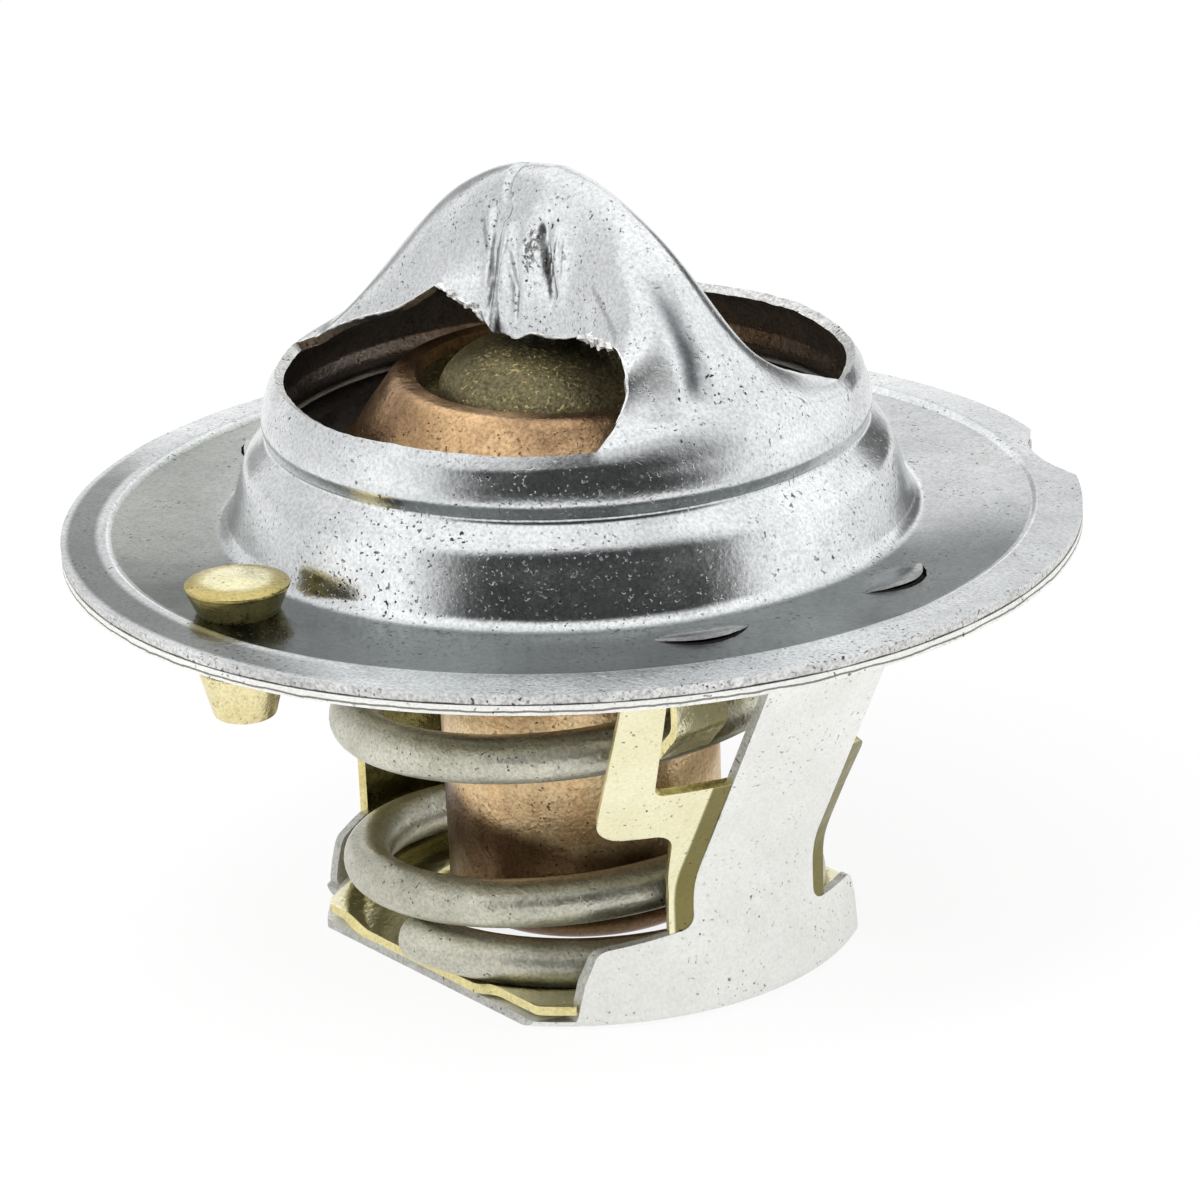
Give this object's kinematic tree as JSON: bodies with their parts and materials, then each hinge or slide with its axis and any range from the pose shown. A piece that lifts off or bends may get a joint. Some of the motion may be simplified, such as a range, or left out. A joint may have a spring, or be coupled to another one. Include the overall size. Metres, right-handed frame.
{
  "type": "engine thermostat",
  "caption": "Poppet engine thermostat: flange with bridge strap, copper wax element, coil return spring, latch frame with legs, loose jiggle pin in the flange.",
  "frame": {"origin": "on the valve axis, in the seating face (the underside) of the mounting flange", "axes": "+Z along the valve axis towards the bridge strap; the strap and both legs of the lower frame lie along X"},
  "size_m": [0.054, 0.054, 0.0423],
  "materials": {
    "zinc_steel": "zinc plated, satin",
    "pale_steel": "pale zinc, matt",
    "brass_sheet": "plain sheet brass",
    "spring_steel": "drawn wire, grey",
    "plate_steel": "dull plated sheet",
    "copper": "bare copper, satin",
    "copper_cup": "bare copper, drawn",
    "wax": "filled wax",
    "rubber": "moulded rubber",
    "guide_brass": "dull brass",
    "polished_steel": "ground",
    "pin_brass": "turned brass"
  },
  "bodies": {
    "housing": {"bridge_flange": "zinc_steel", "lower_frame": "pale_steel", "latch_ring": "brass_sheet", "retainer": "brass_sheet", "piston": "polished_steel", "main_spring": "spring_steel"},
    "valve": {"valve_plate": "plate_steel", "element_collar": "copper", "wax_cup": "copper_cup", "wax_charge": "wax", "rubber_boot": "rubber", "guide_dome": "guide_brass"},
    "pin": {"jiggle_pin": "pin_brass"}
  },
  "joints": [
    {"name": "valve_open", "type": "slide", "parent": "housing", "child": "valve", "axis": [0, 0, -1], "range_m": [0, 0.008], "stiffness_N_per_m": 1000, "springref_m": -0.0015, "deforming": ["main_spring"]},
    {"name": "jiggle", "type": "slide", "parent": "housing", "child": "pin", "axis": [0, 0, 1], "range_m": [0, 0.0024]}
  ]
}
